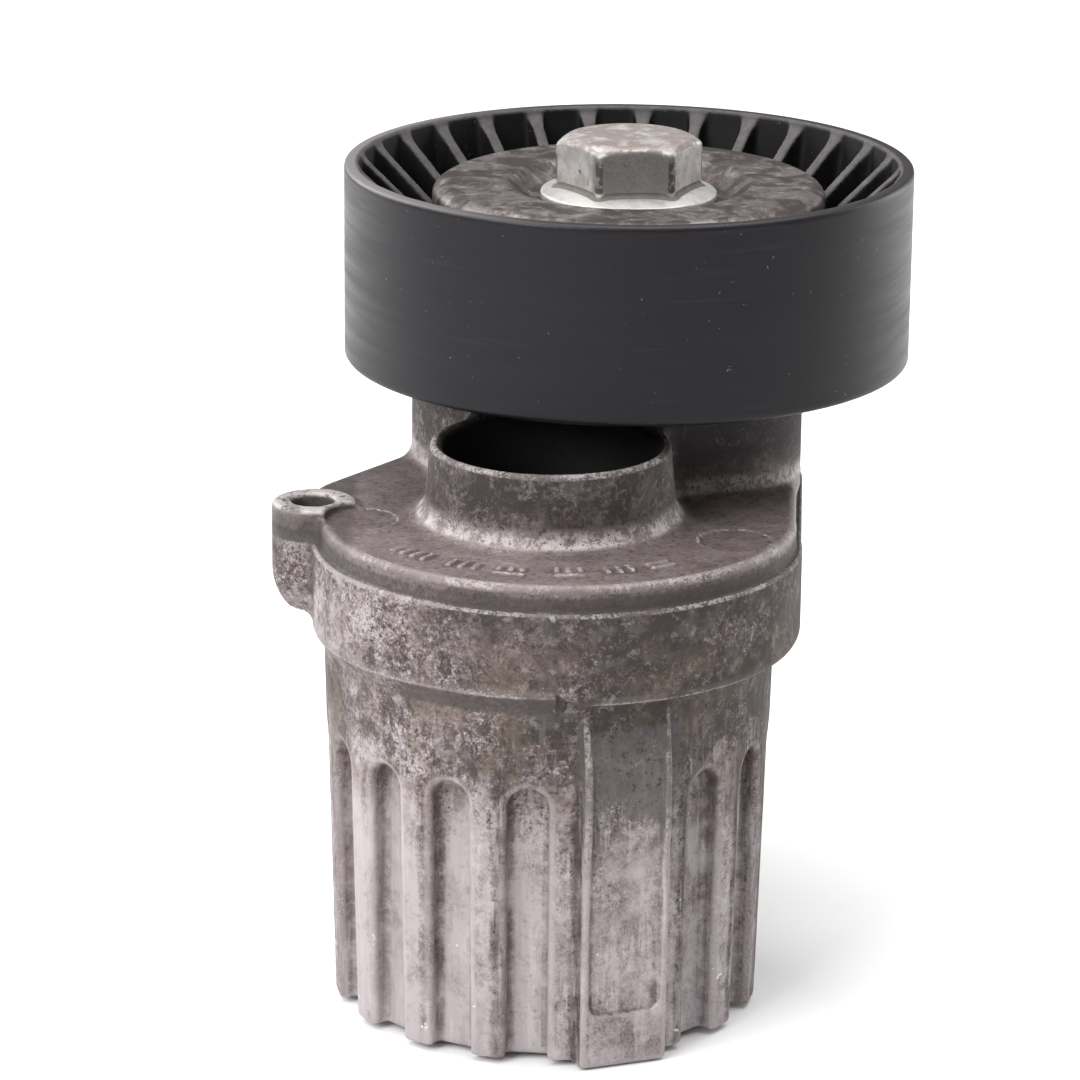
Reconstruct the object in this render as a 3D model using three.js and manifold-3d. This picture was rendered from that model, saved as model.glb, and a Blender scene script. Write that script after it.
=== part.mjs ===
// Belt tensioner idler. Millimetres, +Z up.
// Origin: swing axis of the arm, on the mounting face of the base (z = 0).
import * as THREE from 'three';
import { mergeVertices } from 'three/addons/utils/BufferGeometryUtils.js';
import Module from 'manifold-3d';

const wasm = await Module();
wasm.setup();

// ---------------------------------------------------------------- driving dimensions
const RIM_Z = 0.6;              // lower rim of the barrel above the mounting face
const BARREL_R0 = 25.9;         // barrel outer radius at the rim
const BARREL_R1 = 27.0;         // barrel outer radius under the drum
const DRUM_R = 29.2;            // drum outer radius
const DRUM_X = 1.0;             // the drum sits a little off the swing axis
const DRUM_Y = 0.2;
const DRUM_Z0 = 44.4;           // underside of the drum
const FLANGE_Z0 = 57.0;         // step below the flange lip
const FLANGE_Z = 60.1;          // top of the flange
const CAVITY_R = 21.8;          // spring chamber
const CAVITY_TOP = 50.0;
const POCKETS = 16;             // lightening pockets round the barrel
const POCKET_PITCH = 20.68;     // degrees
const POCKET_W = 4.8;
const POCKET_FLOOR_R = 23.95;
const POCKET_TOP = 34.8;
const PAD_ANGLE = -70.1;        // degrees, centre of the flat pad
const PAD_W = 10.7;
const PAD_TOP = 41.6;
const COLLAR_R0 = 15.3;         // collar at the flange
const COLLAR_R1 = 14.25;        // collar at its top
const COLLAR_Z = 69.2;
const BORE_R = 12.9;            // open access bore in the collar
const BORE_FLOOR = 53.0;
const PILLAR_X = 7.0;           // pillar that carries the pulley
const PILLAR_Y = 29.5;
const PILLAR_R = 24.7;
const CHEEK_X = 19.4;           // fuller front corner of the pillar
const CHEEK_Y = 20.7;
const CHEEK_R = 12.0;
const PILLAR_TOP = 72.4;
const EAR_X = -28.4;            // ear with the locking pin hole
const EAR_Y = 2.6;
const EAR_R = 5.0;
const EAR_TOP = 61.0;
const EAR_H = 14.2;
const PIN_R = 2.6;
const PULLEY_X = 9.3;           // pulley axis
const PULLEY_Y = 28.0;
const PULLEY_R = 35.0;
const PULLEY_Z0 = 73.0;
const PULLEY_H = 24.1;
const PULLEY_Z1 = PULLEY_Z0 + PULLEY_H;
const RIBS = 29;
const RIB_TURN = -1;            // degrees
const RIM_IN = 33.2;            // inside of the pulley rim at its top
const BEARING_Z0 = 79.4;
const BEARING_W = 12.0;
const BEARING_Z1 = BEARING_Z0 + BEARING_W;
const BEARING_MID = BEARING_Z0 + BEARING_W / 2;
const BEARING_OD = 40.0;
const BEARING_ID = 17.0;
const PITCH_R = 14.25;          // ball circle radius
const BALL_R = 3.3;
const BALLS = 8;
const CAP_R = 24.2;             // dust cap
const CAP_TOP = PULLEY_Z1 - 2.4;
const SEAT_Z = PULLEY_Z1 - 4.6; // seat of the bolt flange
const BOLT_FLANGE_R = 10.87;
const HEX_AF = 16.0;
const HEX_TURN = 5;             // degrees
const HEAD_TOP = PULLEY_Z1 + 3.3;
const SPINDLE_R = 7.7;
const BUSH_IN = 7.76;
const BUSH_OUT = 9.6;
const HUB_R = 12.4;
const BASE_R = 21.3;
const BASE_H = 6.0;
const STOP_DEG = 12;            // width of the stop rib
const SWING_DEG = 40;           // arm travel

const rad = (d) => (d * Math.PI) / 180;

// ---------------------------------------------------------------- shape helpers
function solid(geometry) {
  const plain = new THREE.BufferGeometry();
  plain.setAttribute('position', geometry.getAttribute('position'));
  if (geometry.index) {
    plain.setIndex(geometry.index);
  }
  const g = mergeVertices(plain, 1e-5);
  const index = g.index.array;
  const keep = [];
  for (let i = 0; i < index.length; i += 3) {
    const [a, b, c] = [index[i], index[i + 1], index[i + 2]];
    if (a !== b && b !== c && a !== c) {
      keep.push(a, b, c);
    }
  }
  return new wasm.Manifold(new wasm.Mesh({
    numProp: 3,
    vertProperties: new Float32Array(g.getAttribute('position').array),
    triVerts: new Uint32Array(keep),
  }));
}

// Turned body: points are [radius, height] about the Z axis.
function turned(points, segments = 48, x = 0, y = 0) {
  const g = new THREE.LatheGeometry(points.map((p) => new THREE.Vector2(p[0], p[1])), segments);
  g.rotateX(Math.PI / 2);
  g.translate(x, y, 0);
  return solid(signedVolume(g) < 0 ? flip(g) : g);
}

function signedVolume(g) {
  const p = g.getAttribute('position');
  const ix = g.index.array;
  const [a, b, c] = [new THREE.Vector3(), new THREE.Vector3(), new THREE.Vector3()];
  let v = 0;
  for (let i = 0; i < ix.length; i += 3) {
    a.fromBufferAttribute(p, ix[i]);
    b.fromBufferAttribute(p, ix[i + 1]);
    c.fromBufferAttribute(p, ix[i + 2]);
    v += a.dot(b.cross(c));
  }
  return v;
}

function flip(g) {
  const f = g.clone();
  const ix = Array.from(f.index.array);
  for (let i = 0; i < ix.length; i += 3) {
    const t = ix[i + 1];
    ix[i + 1] = ix[i + 2];
    ix[i + 2] = t;
  }
  f.setIndex(ix);
  return f;
}

function ring(rIn, rOut, z0, z1, segments = 32, x = 0, y = 0) {
  return turned([[rIn, z0], [rOut, z0], [rOut, z1], [rIn, z1], [rIn, z0]], segments, x, y);
}

function rod(r, z0, z1, segments = 48, x = 0, y = 0) {
  return turned([[0, z0], [r, z0], [r, z1], [0, z1]], segments, x, y);
}

// Upright prism over a plan outline, edges rounded by `round` when given.
function prism(outline, z0, z1, round = 0) {
  const shape = new THREE.Shape(outline.map((p) => new THREE.Vector2(p[0], p[1])));
  const g = new THREE.ExtrudeGeometry(shape, {
    depth: z1 - z0 - 2 * round,
    bevelEnabled: round > 0,
    bevelThickness: round,
    bevelSize: round,
    bevelOffset: -round,
    bevelSegments: 2,
    steps: 1,
  });
  g.translate(0, 0, z0 + round);
  return solid(g);
}

// Plate with its outline in the tangent and height directions, extruded outwards along a radius.
function radial(outline, r0, r1, deg) {
  const shape = new THREE.Shape(outline.map((p) => new THREE.Vector2(p[0], p[1])));
  const g = new THREE.ExtrudeGeometry(shape, { depth: r1 - r0, bevelEnabled: false, steps: 1 });
  g.translate(0, 0, r0);
  g.rotateX(Math.PI / 2);
  g.rotateZ(Math.PI);
  g.rotateZ(rad(deg - 90));
  return solid(g);
}

// Rib with its outline in the radius and height directions, `width` thick along the tangent.
function rib(outline, width, deg, x = 0, y = 0) {
  const shape = new THREE.Shape(outline.map((p) => new THREE.Vector2(p[0], p[1])));
  const g = new THREE.ExtrudeGeometry(shape, { depth: width, bevelEnabled: false, steps: 1 });
  g.translate(0, 0, -width / 2);
  g.rotateX(Math.PI / 2);
  g.rotateZ(rad(deg));
  g.translate(x, y, 0);
  return solid(g);
}

function circle(x, y, r, n, from = 0, to = 360) {
  const pts = [];
  for (let i = 0; i < n; i += 1) {
    const a = rad(from + ((to - from) * i) / n);
    pts.push([x + r * Math.cos(a), y + r * Math.sin(a)]);
  }
  return pts;
}

// Convex outline round a set of points, counter-clockwise.
function hull(points) {
  const p = points.slice().sort((a, b) => a[0] - b[0] || a[1] - b[1]);
  const cross = (o, a, b) => (a[0] - o[0]) * (b[1] - o[1]) - (a[1] - o[1]) * (b[0] - o[0]);
  const half = (list) => {
    const out = [];
    for (const q of list) {
      while (out.length > 1 && cross(out[out.length - 2], out[out.length - 1], q) <= 1e-9) {
        out.pop();
      }
      out.push(q);
    }
    out.pop();
    return out;
  };
  return [...half(p), ...half(p.reverse())];
}

function arc(cx, cy, r, a0, a1, n) {
  const pts = [];
  for (let i = 0; i <= n; i += 1) {
    const a = rad(a0 + ((a1 - a0) * i) / n);
    pts.push([cx + r * Math.cos(a), cy + r * Math.sin(a)]);
  }
  return pts;
}

function sector(r0, r1, a0, a1) {
  return [...arc(0, 0, r1, a0, a1, 8), ...arc(0, 0, r0, a1, a0, 8)];
}

const unionOf = (list) => list.reduce((a, b) => a.add(b));

// ---------------------------------------------------------------- scene assembly
const group = new THREE.Group();
group.name = 'belt_tensioner_idler';

function piece(name, body, colour, roughness, metalness) {
  const m = body.getMesh();
  const g = new THREE.BufferGeometry();
  g.setAttribute('position', new THREE.BufferAttribute(new Float32Array(m.vertProperties), 3));
  g.setIndex(new THREE.BufferAttribute(new Uint32Array(m.triVerts), 1));
  g.computeVertexNormals();
  const material = new THREE.MeshStandardMaterial({ color: colour, roughness, metalness });
  const mesh = new THREE.Mesh(g, material);
  mesh.name = name;
  group.add(mesh);
}

const BLACK_PLASTIC = 0x1b1b1d;
const CAST_ALUMINIUM = 0x8d8681;
const STEEL = 0xa9a9aa;
const DARK_STEEL = 0x4a4542;

// ---------------------------------------------------------------- base: plate and spindle
let base = rod(BASE_R, 0, BASE_H, 48);
const slotFrom = 150;
const slotTo = slotFrom + STOP_DEG + SWING_DEG + 2;
base = base.subtract(prism(sector(19.4, 23, slotFrom, slotTo), -1, BASE_H + 1));
for (const deg of [30, 110, 250, 330]) {
  const [x, y] = [15.5 * Math.cos(rad(deg)), 15.5 * Math.sin(rad(deg))];
  base = base.subtract(rod(2.6, -1, 4.2, 20, x, y));
}
base = base.subtract(prism(sector(13.2, 17.4, 78, 96), 3.4, BASE_H + 1));
piece('base_plate', base, CAST_ALUMINIUM, 0.6, 0.8);

let spindle = turned([
  [0, BASE_H + 0.05], [11, BASE_H + 0.05], [11, BASE_H + 3], [SPINDLE_R, BASE_H + 3],
  [SPINDLE_R, 55.2], [7.0, 55.2], [7.0, 56.4], [SPINDLE_R, 56.4], [SPINDLE_R, 58.4],
  [7.0, 59.1], [0, 59.1],
], 32);
spindle = spindle.subtract(turned([[0, 57.2], [2.6, 57.2], [3.6, 60], [0, 60]], 20));
piece('spindle', spindle, STEEL, 0.4, 1.0);

piece('thrust_washer', ring(7.76, 11.8, 53.3, 55.0), DARK_STEEL, 0.5, 1.0);

let clip = ring(7.2, 10.0, 55.3, 56.3, 40);
clip = clip.subtract(prism(sector(6, 12, -112, -92), 54, 58));
for (const deg of [-118, -86]) {
  const [x, y] = [9.7 * Math.cos(rad(deg)), 9.7 * Math.sin(rad(deg))];
  clip = clip.add(rod(1.5, 55.3, 56.3, 16, x, y));
  clip = clip.subtract(rod(0.6, 55, 57, 10, x, y));
}
piece('retaining_ring', clip, DARK_STEEL, 0.4, 1.0);

// Torsion spring: flat-laid coils between the base plate and the barrel roof, ends turned down and up.
const SPRING_R = 17.3;
const SPRING_WIRE = 1.65;
const SPRING_Z0 = 11.2;
const SPRING_Z1 = 44.6;
const SPRING_TURNS = 6.25;
const springPath = [];
const coilSteps = Math.round(SPRING_TURNS * 10);
for (let i = 0; i <= coilSteps; i += 1) {
  const a = rad(87) + (i / 10) * 2 * Math.PI;
  const z = SPRING_Z0 + ((SPRING_Z1 - SPRING_Z0) * i) / coilSteps;
  springPath.push(new THREE.Vector3(SPRING_R * Math.cos(a), SPRING_R * Math.sin(a), z));
}
function wire(points, r, sides, steps) {
  const curve = new THREE.CatmullRomCurve3(points, false, 'centripetal');
  const shape = new THREE.Shape(circle(0, 0, r, sides).map((p) => new THREE.Vector2(p[0], p[1])));
  return solid(new THREE.ExtrudeGeometry(shape, { steps, extrudePath: curve, bevelEnabled: false }));
}
let spring = wire(springPath, SPRING_WIRE, 6, coilSteps);
const tail = rad(87);
spring = spring.add(rod(1.5, 3.8, SPRING_Z0 + 0.6, 12, 15.4 * Math.cos(tail), 15.4 * Math.sin(tail)));
piece('torsion_spring', spring, DARK_STEEL, 0.45, 1.0);

// ---------------------------------------------------------------- arm: casting
const barrelR = (z) => BARREL_R0 + ((BARREL_R1 - BARREL_R0) * (z - RIM_Z)) / (DRUM_Z0 - RIM_Z);
let arm = turned([
  [0, RIM_Z], [BARREL_R0 - 0.5, RIM_Z], [BARREL_R0, RIM_Z + 0.5], [BARREL_R1, DRUM_Z0 + 1.6],
  [0, DRUM_Z0 + 1.6],
], 60);

const pillarOutline = (grow) => hull([
  ...circle(PILLAR_X, PILLAR_Y, PILLAR_R + grow, 40),
  ...circle(CHEEK_X, CHEEK_Y, CHEEK_R + grow, 28),
]);

// Plan of drum and flange: a round drum, a bridge to the pillar and a web behind the ear.
const plans = [
  (grow) => circle(DRUM_X, DRUM_Y, DRUM_R + grow, 60),
  (grow) => hull([
    ...circle(8.0, 0.2, 22.1 + grow, 40),
    ...circle(PILLAR_X, PILLAR_Y, PILLAR_R + grow, 40),
  ]),
  (grow) => hull([
    ...circle(-16.5, 6.5, 13.5 + grow, 32),
    ...circle(-4.9, 20.3, 15.0 + grow, 32),
  ]),
];
for (const plan of plans) {
  arm = arm.add(prism(plan(0), DRUM_Z0 + 0.4, FLANGE_Z0, 1.6));
  arm = arm.add(prism(plan(-0.02), DRUM_Z0 + 3, FLANGE_Z0));
  arm = arm.add(prism(plan(-0.4), FLANGE_Z0 - 0.5, FLANGE_Z));
}
arm = arm.add(prism(pillarOutline(-0.4), FLANGE_Z - 1, PILLAR_TOP));

// collar and its foot
arm = arm.add(turned([
  [0, FLANGE_Z - 1], [COLLAR_R0 + 1.7, FLANGE_Z - 1], [COLLAR_R0 + 1.6, FLANGE_Z],
  [COLLAR_R0 + 0.6, FLANGE_Z + 0.4], [COLLAR_R0, FLANGE_Z + 1.4], [COLLAR_R1 + 0.2, COLLAR_Z - 0.6],
  [COLLAR_R1 - 0.3, COLLAR_Z], [0, COLLAR_Z],
], 48));

// neck that carries the bearing
arm = arm.add(rod(11.0, PILLAR_TOP - 1, BEARING_Z0 - 0.9, 32, PULLEY_X, PULLEY_Y));

// ear
arm = arm.add(turned([
  [0, EAR_TOP - EAR_H], [1.4, EAR_TOP - EAR_H + 0.2], [3.4, EAR_TOP - EAR_H + 1.8],
  [4.6, EAR_TOP - EAR_H + 4], [EAR_R, EAR_TOP - EAR_H + 6.6], [EAR_R, EAR_TOP - 0.5],
  [EAR_R - 0.5, EAR_TOP], [0, EAR_TOP],
], 22, EAR_X, EAR_Y));

// flat pad with its shallow panel
const padLean = barrelR(PAD_TOP) - barrelR(RIM_Z);
arm = arm.add(rib([
  [22.6, 0.2], [BARREL_R0 + 0.9, 0.2], [BARREL_R0 + 1.4, 0.8], [BARREL_R0 + 1.4 + padLean, PAD_TOP - 0.8],
  [BARREL_R0 + 0.6 + padLean, PAD_TOP], [22.6, PAD_TOP],
], PAD_W, PAD_ANGLE));
const panel = [...arc(0, 21, 3.4, 0, 180, 8), ...arc(0, 10, 3.4, 180, 360, 8)];
arm = arm.subtract(radial(panel, BARREL_R0 + 1.2, BARREL_R0 + 5, PAD_ANGLE));

// pockets with arched tops
const arch = [
  [-POCKET_W / 2, -2], [POCKET_W / 2, -2],
  ...arc(0, POCKET_TOP - POCKET_W / 2, POCKET_W / 2, 0, 180, 6),
];
for (let k = 0; k < POCKETS; k += 1) {
  const deg = PAD_ANGLE + 24.9 + POCKET_PITCH * k;
  arm = arm.subtract(radial(arch, POCKET_FLOOR_R, BARREL_R1 + 3, deg));
}

// hollow parts
arm = arm.subtract(turned([
  [0, -1], [CAVITY_R, -1], [CAVITY_R, CAVITY_TOP - 2], [CAVITY_R - 2, CAVITY_TOP], [0, CAVITY_TOP],
], 40));
arm = arm.add(rod(HUB_R, 16, CAVITY_TOP + 1, 32));
arm = arm.subtract(rod(BUSH_OUT + 0.05, 15, 30.3, 32));
arm = arm.subtract(rod(BUSH_IN + 0.3, 14, 60, 32));
arm = arm.subtract(rod(BUSH_OUT + 0.05, 42.6, BORE_FLOOR + 1, 32));
arm = arm.subtract(turned([
  [0, BORE_FLOOR], [BORE_R, BORE_FLOOR], [BORE_R, COLLAR_Z - 0.8], [BORE_R + 0.7, COLLAR_Z],
  [BORE_R + 0.7, 80], [0, 80],
], 40));
arm = arm.subtract(rod(PIN_R, 40, 70, 18, EAR_X, EAR_Y));
arm = arm.subtract(rod(5.1, 50, 90, 24, PULLEY_X, PULLEY_Y));
for (const [x, y] of [[21.7, -9.4], [-22.6, -2.2]]) {
  arm = arm.subtract(rod(4.2, FLANGE_Z - 0.3, FLANGE_Z + 1, 20, x, y));
}

// stop rib that runs in the slot of the base plate
const stopFrom = slotFrom + 0.9;
arm = arm.add(prism(sector(19.9, CAVITY_R + 0.6, stopFrom, stopFrom + STOP_DEG), RIM_Z + 0.4, BASE_H + 2));

piece('arm_casting', arm, CAST_ALUMINIUM, 0.7, 0.7);

piece('lower_bushing', ring(BUSH_IN, BUSH_OUT, 16.2, 30.0), 0x2a2a2c, 0.6, 0.0);
piece('upper_bushing', ring(BUSH_IN, BUSH_OUT, 42.9, BORE_FLOOR), 0x2a2a2c, 0.6, 0.0);
piece('friction_ring', ring(12.8, 19.6, CAVITY_TOP - 2.4, CAVITY_TOP - 0.3), 0x3a3026, 0.7, 0.0);

// ---------------------------------------------------------------- pulley bearing, fixed side
const at = [PULLEY_X, PULLEY_Y];
function raceArc(sign, n = 4) {
  const r = BALL_R + 0.05;
  const pts = [];
  for (let i = 0; i <= n; i += 1) {
    const a = rad(-58 + (116 * i) / n);
    pts.push([PITCH_R + sign * r * Math.cos(a), BEARING_MID + r * Math.sin(a)]);
  }
  return pts;
}
const innerRace = raceArc(-1);
const outerRace = raceArc(1).map((p) => [p[0] + 0.06, p[1]]);
piece('bearing_inner_ring', turned([
  [BEARING_ID / 2, BEARING_Z0], [innerRace[0][0], BEARING_Z0], ...innerRace,
  [innerRace[4][0], BEARING_Z1], [BEARING_ID / 2, BEARING_Z1], [BEARING_ID / 2, BEARING_Z0],
], 32, ...at), STEEL, 0.3, 1.0);

piece('lower_dust_shield', turned([
  [9.0, BEARING_Z0 - 0.7], [18.8, BEARING_Z0 - 0.7], [19.6, BEARING_Z0 - 2.4], [20.4, BEARING_Z0 - 2.4],
  [19.4, BEARING_Z0 - 0.1], [9.0, BEARING_Z0 - 0.1], [9.0, BEARING_Z0 - 0.7],
], 40, ...at), DARK_STEEL, 0.5, 1.0);

// Dust cap: rounded shoulder, flat land, dished centre, foot on the inner ring.
piece('dust_cap', turned([
  [5.3, BEARING_Z1 + 0.05], [12.8, BEARING_Z1 + 0.05], [15.3, CAP_TOP - 1.2], [21.6, CAP_TOP - 1.2],
  [22.8, CAP_TOP - 2.2], [22.8, CAP_TOP - 3.6], [CAP_R, CAP_TOP - 3.6], [CAP_R, CAP_TOP - 1.6],
  [CAP_R - 0.7, CAP_TOP - 0.6], [CAP_R - 2.2, CAP_TOP],
  [15.6, CAP_TOP], [14.8, CAP_TOP - 0.3], [12.6, SEAT_Z], [5.3, SEAT_Z], [5.3, BEARING_Z1 + 0.05],
], 36, ...at), DARK_STEEL, 0.5, 1.0);

// Hex flange bolt.
const hexR = HEX_AF / 2 / Math.cos(Math.PI / 6);
let bolt = prism(circle(...at, hexR, 6, HEX_TURN + 60, HEX_TURN + 420), SEAT_Z + 1, HEAD_TOP);
bolt = bolt.intersect(turned([
  [0, SEAT_Z], [hexR + 1, SEAT_Z], [hexR + 1, HEAD_TOP - 1.4], [hexR - 1.5, HEAD_TOP - 0.1],
  [hexR - 2.4, HEAD_TOP], [0, HEAD_TOP],
], 36, ...at));
bolt = bolt.add(turned([
  [0, SEAT_Z + 0.05], [BOLT_FLANGE_R - 0.3, SEAT_Z + 0.05], [BOLT_FLANGE_R, SEAT_Z + 0.35],
  [BOLT_FLANGE_R, SEAT_Z + 0.9], [BOLT_FLANGE_R - 0.4, SEAT_Z + 1.2], [8.3, SEAT_Z + 1.8], [0, SEAT_Z + 1.9],
], 48, ...at));
bolt = bolt.add(turned([
  [0, 52.5], [4.2, 52.5], [4.95, 53.4], [4.95, SEAT_Z + 0.5], [0, SEAT_Z + 0.5],
], 24, ...at));
piece('pulley_bolt', bolt, 0xc2c3c2, 0.35, 1.0);

// ---------------------------------------------------------------- pulley: rim, web, hub and ribs
const Z0 = PULLEY_Z0;
const Z1 = PULLEY_Z1;
const WEB_Z = (Z0 + Z1) / 2;
const HUB_IN = BEARING_OD / 2 + 0.05;
const HUB_OUT = 23.2;
let pulley = turned([
  [HUB_IN, BEARING_Z0 + 0.2], [HUB_OUT, BEARING_Z0 + 0.2], [HUB_OUT + 0.4, WEB_Z - 1.6],
  [RIM_IN - 1.4, WEB_Z - 1.6], [RIM_IN, Z0 + 0.5], [RIM_IN + 0.4, Z0], [PULLEY_R - 0.9, Z0],
  [PULLEY_R, Z0 + 0.9], [PULLEY_R, Z1 - 0.9], [PULLEY_R - 0.9, Z1], [RIM_IN + 0.4, Z1],
  [RIM_IN, Z1 - 0.5], [RIM_IN - 1.4, WEB_Z + 1.6],
  [HUB_OUT + 0.4, WEB_Z + 1.6], [HUB_OUT, BEARING_Z1 - 1.6], [HUB_IN, BEARING_Z1 - 1.6],
  [HUB_IN, BEARING_Z0 + 0.2],
], 60, ...at);
const ribTop = [
  [HUB_OUT - 0.6, WEB_Z], [RIM_IN + 0.3, WEB_Z], [RIM_IN + 0.3, Z1 - 0.6], [HUB_OUT - 0.6, Z1 - 10.5],
];
const ribUnder = [
  [HUB_OUT - 0.6, WEB_Z], [HUB_OUT - 0.6, Z0 + 10.5], [RIM_IN + 0.3, Z0 + 0.6], [RIM_IN + 0.3, WEB_Z],
];
const ribs = [];
for (let k = 0; k < RIBS; k += 1) {
  ribs.push(rib(ribTop, 1.6, (360 / RIBS) * k + RIB_TURN, ...at));
  ribs.push(rib(ribUnder, 1.6, (360 / RIBS) * k + RIB_TURN, ...at));
}
pulley = pulley.add(unionOf(ribs));
piece('pulley', pulley, BLACK_PLASTIC, 0.45, 0.0);

piece('bearing_outer_ring', turned([
  [outerRace[0][0], BEARING_Z0], [BEARING_OD / 2, BEARING_Z0], [BEARING_OD / 2, BEARING_Z1],
  [outerRace[4][0], BEARING_Z1], ...outerRace.slice().reverse(), [outerRace[0][0], BEARING_Z0],
], 32, ...at), STEEL, 0.3, 1.0);
const sealIn = innerRace[0][0] + 0.4;
const sealOut = outerRace[0][0] - 0.3;
const seal = (z) => ring(sealIn, sealOut, z, z + 0.7, 32, ...at);
piece('bearing_seal_lower', seal(BEARING_Z0 + 0.2), 0x202022, 0.7, 0.0);
piece('bearing_seal_upper', seal(BEARING_Z1 - 0.9), 0x202022, 0.7, 0.0);

// ---------------------------------------------------------------- balls and cage
let cage = ring(PITCH_R - 0.9, PITCH_R + 0.9, BEARING_MID - 4.4, BEARING_MID + 4.4, 32, ...at);
for (let k = 0; k < BALLS; k += 1) {
  const a = rad((360 / BALLS) * k);
  const [x, y] = [PULLEY_X + PITCH_R * Math.cos(a), PULLEY_Y + PITCH_R * Math.sin(a)];
  const g = new THREE.SphereGeometry(BALL_R, 10, 6);
  g.rotateX(Math.PI / 2);
  g.translate(x, y, BEARING_MID);
  piece(`bearing_ball_${k + 1}`, solid(g), STEEL, 0.15, 1.0);
  const hole = new THREE.CylinderGeometry(BALL_R + 0.3, BALL_R + 0.3, 8, 14);
  hole.rotateZ(Math.PI / 2 + a);
  hole.translate(x, y, BEARING_MID);
  cage = cage.subtract(solid(hole));
}
piece('bearing_cage', cage, 0x8a7a4c, 0.4, 1.0);

export default group;
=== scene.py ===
import math

import bpy
import numpy as np
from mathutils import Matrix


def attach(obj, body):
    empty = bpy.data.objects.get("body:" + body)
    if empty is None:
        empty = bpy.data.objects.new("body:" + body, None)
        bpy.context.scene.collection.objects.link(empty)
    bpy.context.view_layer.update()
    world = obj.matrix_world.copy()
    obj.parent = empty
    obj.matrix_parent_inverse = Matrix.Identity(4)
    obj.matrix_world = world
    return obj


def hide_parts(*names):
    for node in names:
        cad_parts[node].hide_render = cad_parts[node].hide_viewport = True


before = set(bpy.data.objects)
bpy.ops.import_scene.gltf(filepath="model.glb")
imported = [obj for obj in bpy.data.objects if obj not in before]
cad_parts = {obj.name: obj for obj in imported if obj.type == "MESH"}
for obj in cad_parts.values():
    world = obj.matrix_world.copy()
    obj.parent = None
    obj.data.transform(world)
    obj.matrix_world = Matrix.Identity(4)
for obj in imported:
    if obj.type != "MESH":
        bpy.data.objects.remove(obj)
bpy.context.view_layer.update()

import openvdb
from mathutils import Matrix, Vector

MM = 0.001

# ------------------------------------------------------------------ dimensions, mm and degrees
# barrel, its pockets and the flat pad
RIM_Z, BARREL_TOP = 0.6, 52.0
BARREL_R0, BARREL_R1 = 25.9, 27.0
POCKETS, PITCH, FIRST = 16, 20.68, -45.2
POCKET_HALF, POCKET_FLOOR, POCKET_TOP = 2.42, 23.95, 32.4
PAD_ANGLE, PAD_HALF, PAD_TOP, PAD_PROUD, PAD_ROOT = -70.1, 5.35, 41.6, 1.35, 22.6
PANEL_HALF, PANEL_FOOT, PANEL_CORNER, PANEL_DEPTH = 4.5, 6.8, 1.6, 0.55
# drum, flange and pillar
DRUM, DRUM_R, DRUM_Z0 = (1.0, 0.2), 29.2, 44.4
LOBE_EDGE, LOBE_CORNER = 0.9, 4.8
BRIDGE, BRIDGE_R = (8.0, 0.2), 22.1
WEB_FRONT, WEB_FRONT_R = (-16.5, 6.5), 13.5
WEB_BACK, WEB_BACK_R = (-4.9, 20.3), 15.0
FLANGE_Z0, FLANGE_Z = 57.0, 60.1
PILLAR, PILLAR_R, PILLAR_TOP = (7.0, 29.5), 24.7, 72.4
CHEEK, CHEEK_R = (19.4, 20.7), 12.0
NECK_R, NECK_TOP = 11.0, 78.5
# collar, ear and the round ejector marks
COLLAR_R0, COLLAR_R1, COLLAR_Z = 15.2, 14.3, 69.2
EAR, EAR_R, EAR_TOP, EAR_HALF, PIN_R = (-28.4, 2.6), 5.0, 61.0, 7.5, 2.6
EJECTORS, EJECTOR_R = ((21.7, -9.4), (-22.6, -2.2)), 4.2
# hollow parts of the casting
BORE_R, BORE_FLOOR, BORE_TOP = 12.9, 53.0, 69.9
CAVITY_R, CAVITY_TOP = 21.8, 50.0
HUB_R, HUB_Z = 12.4, 16.0
BUSH_R, SPINDLE_R = 9.65, 8.1
BUSH_SEATS = ((10.0, 30.3), (42.6, 56.0))
BOLT_HOLE_R = 5.1
# pulley, cap and bolt on their own axis
AX, AY = 9.3, 28.0
PULLEY_R, RIM_R, RIM_DRAFT, Z0, Z1 = 35.0, 33.3, 0.12, 73.0, 97.1
SEAT_R, SLEEVE_R, SLEEVE_Z0, SLEEVE_Z1 = 20.05, 23.3, Z0 + 6.6, 89.8
WEB_HALF, WEB_R0 = 1.6, 21.0
RIBS, RIB_TURN, RIB_HALF, RIB_FLARE = 29, -1.0, 0.76, 0.45
RIB_SLOPE, RIB_HIGH_R, RIB_FOOT_R = 0.94, 33.2, 21.5
BEARING_Z1 = 91.4
CAP_TOP, SEAT_Z, HEAD_TOP = Z1 - 2.4, Z1 - 4.6, Z1 + 3.3
HEX_HALF, HEX_TURN, HEX_TOP_R, HEX_Z = 7.95, 5.0, 7.5, SEAT_Z + 1
WASHER_R, SHANK_R, SHANK_Z = 10.87, 4.95, 52.6

# plain raised marks on the flange: bearing, radius, half length, half width
MARKS = [(a, 22.6, 1.05, 0.1) for a in (-141, -137, -133, -129, -120, -116, -112)]
MARKS += [(a, 24.2, 0.08, 1.7) for a in (-101.5, -84.5)]
MARKS += [(a, 22.2, 0.5, 0.1) for a in (-105, -101.5, -98, -88, -84.5, -81)]
MARKS += [(a, 23.1, 0.95, 0.1) for a in (-73.5, -70, -66.5)]
MARKS += [(-57, 24.0, 0.1, 1.5), (-57, 22.5, 0.1, 1.5)]
MARK_ROUND, MARK_RISE = 0.22, 0.34


# ------------------------------------------------------------------ distance fields, mm
def smin(a, b, k):
    """Union of two fields, blended over k."""
    h = np.clip(0.5 + 0.5 * (b - a) / k, 0, 1)
    return b + (a - b) * h - k * h * (1 - h)


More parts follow.
